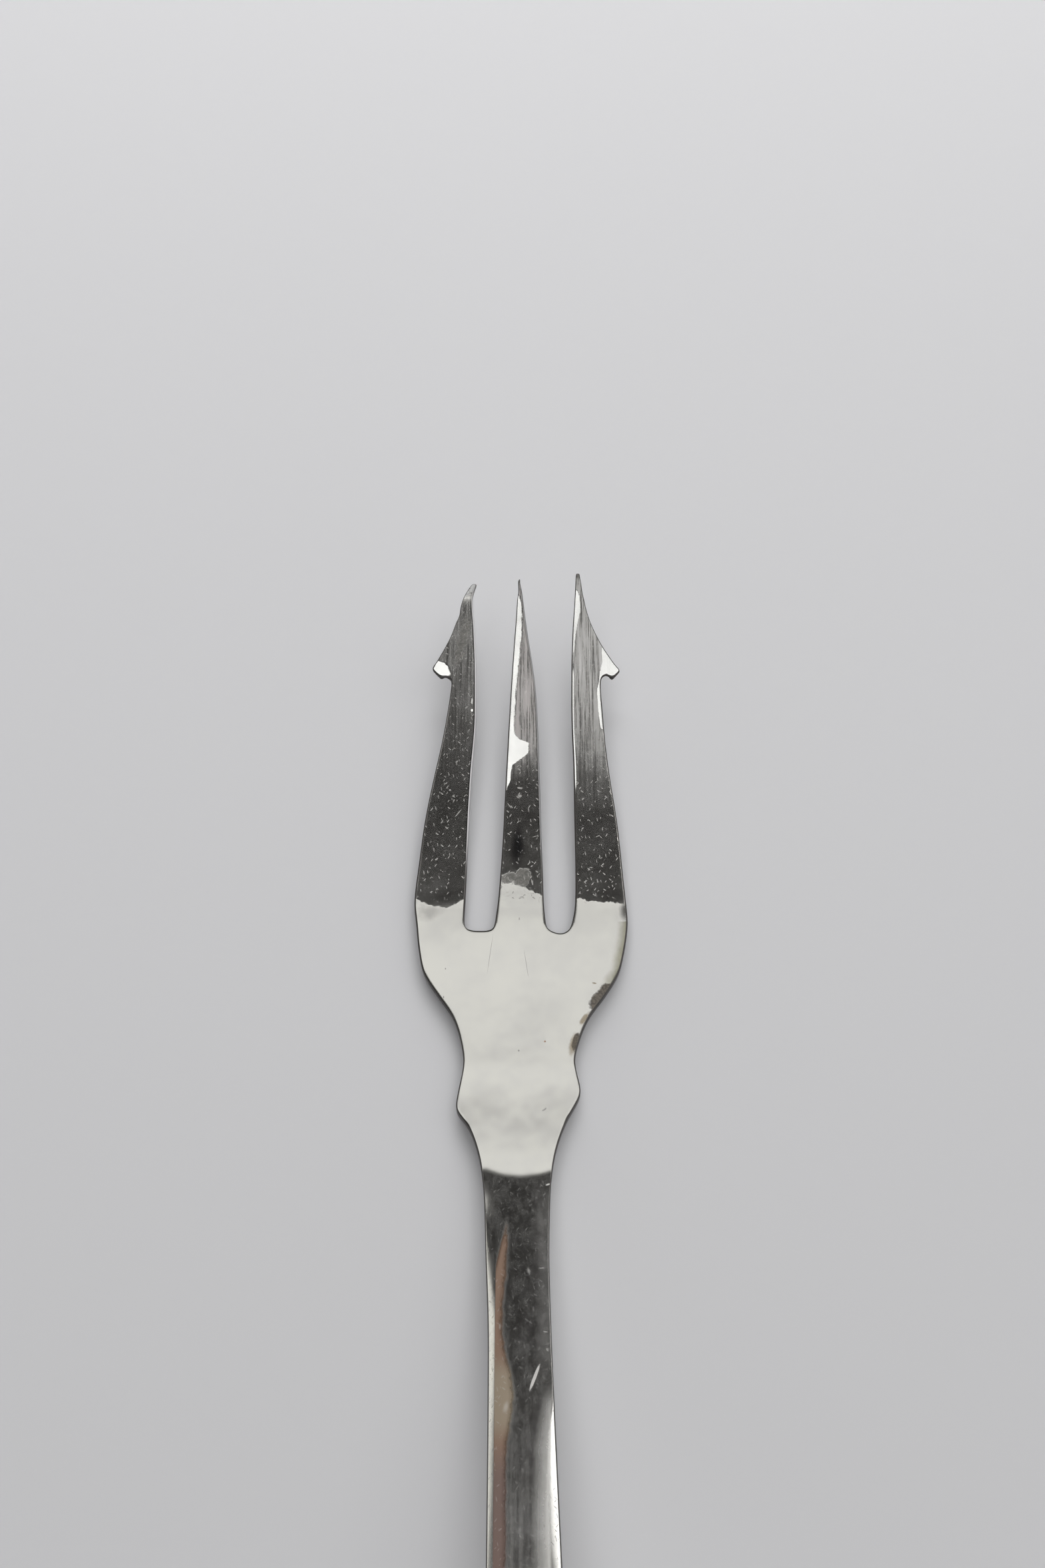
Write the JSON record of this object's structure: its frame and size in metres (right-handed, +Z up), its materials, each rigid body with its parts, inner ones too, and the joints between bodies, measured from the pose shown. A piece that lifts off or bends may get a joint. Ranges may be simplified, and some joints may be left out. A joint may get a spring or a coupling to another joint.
{
  "type": "pickle fork",
  "caption": "Pickle fork with tapering tines, the outer ones barbed, a flat waisted palm, small knops at the neck and a slender handle that rises gently and comes down to its rounded end.",
  "frame": {"origin": "centre of the bounding box in plan, at the height of the table the fork lies on", "axes": "+Y along the fork from the end of the handle to the tines, +Z up from the table out of the face seen in the picture, +X to the right of that face with the tines pointing away"},
  "size_m": [0.0192, 0.175, 0.0115],
  "materials": {
    "silver": "worn silver plate, polished on the palm, brushed and tarnished on the tines"
  },
  "bodies": {
    "root": {"fork": "silver"}
  },
  "joints": []
}
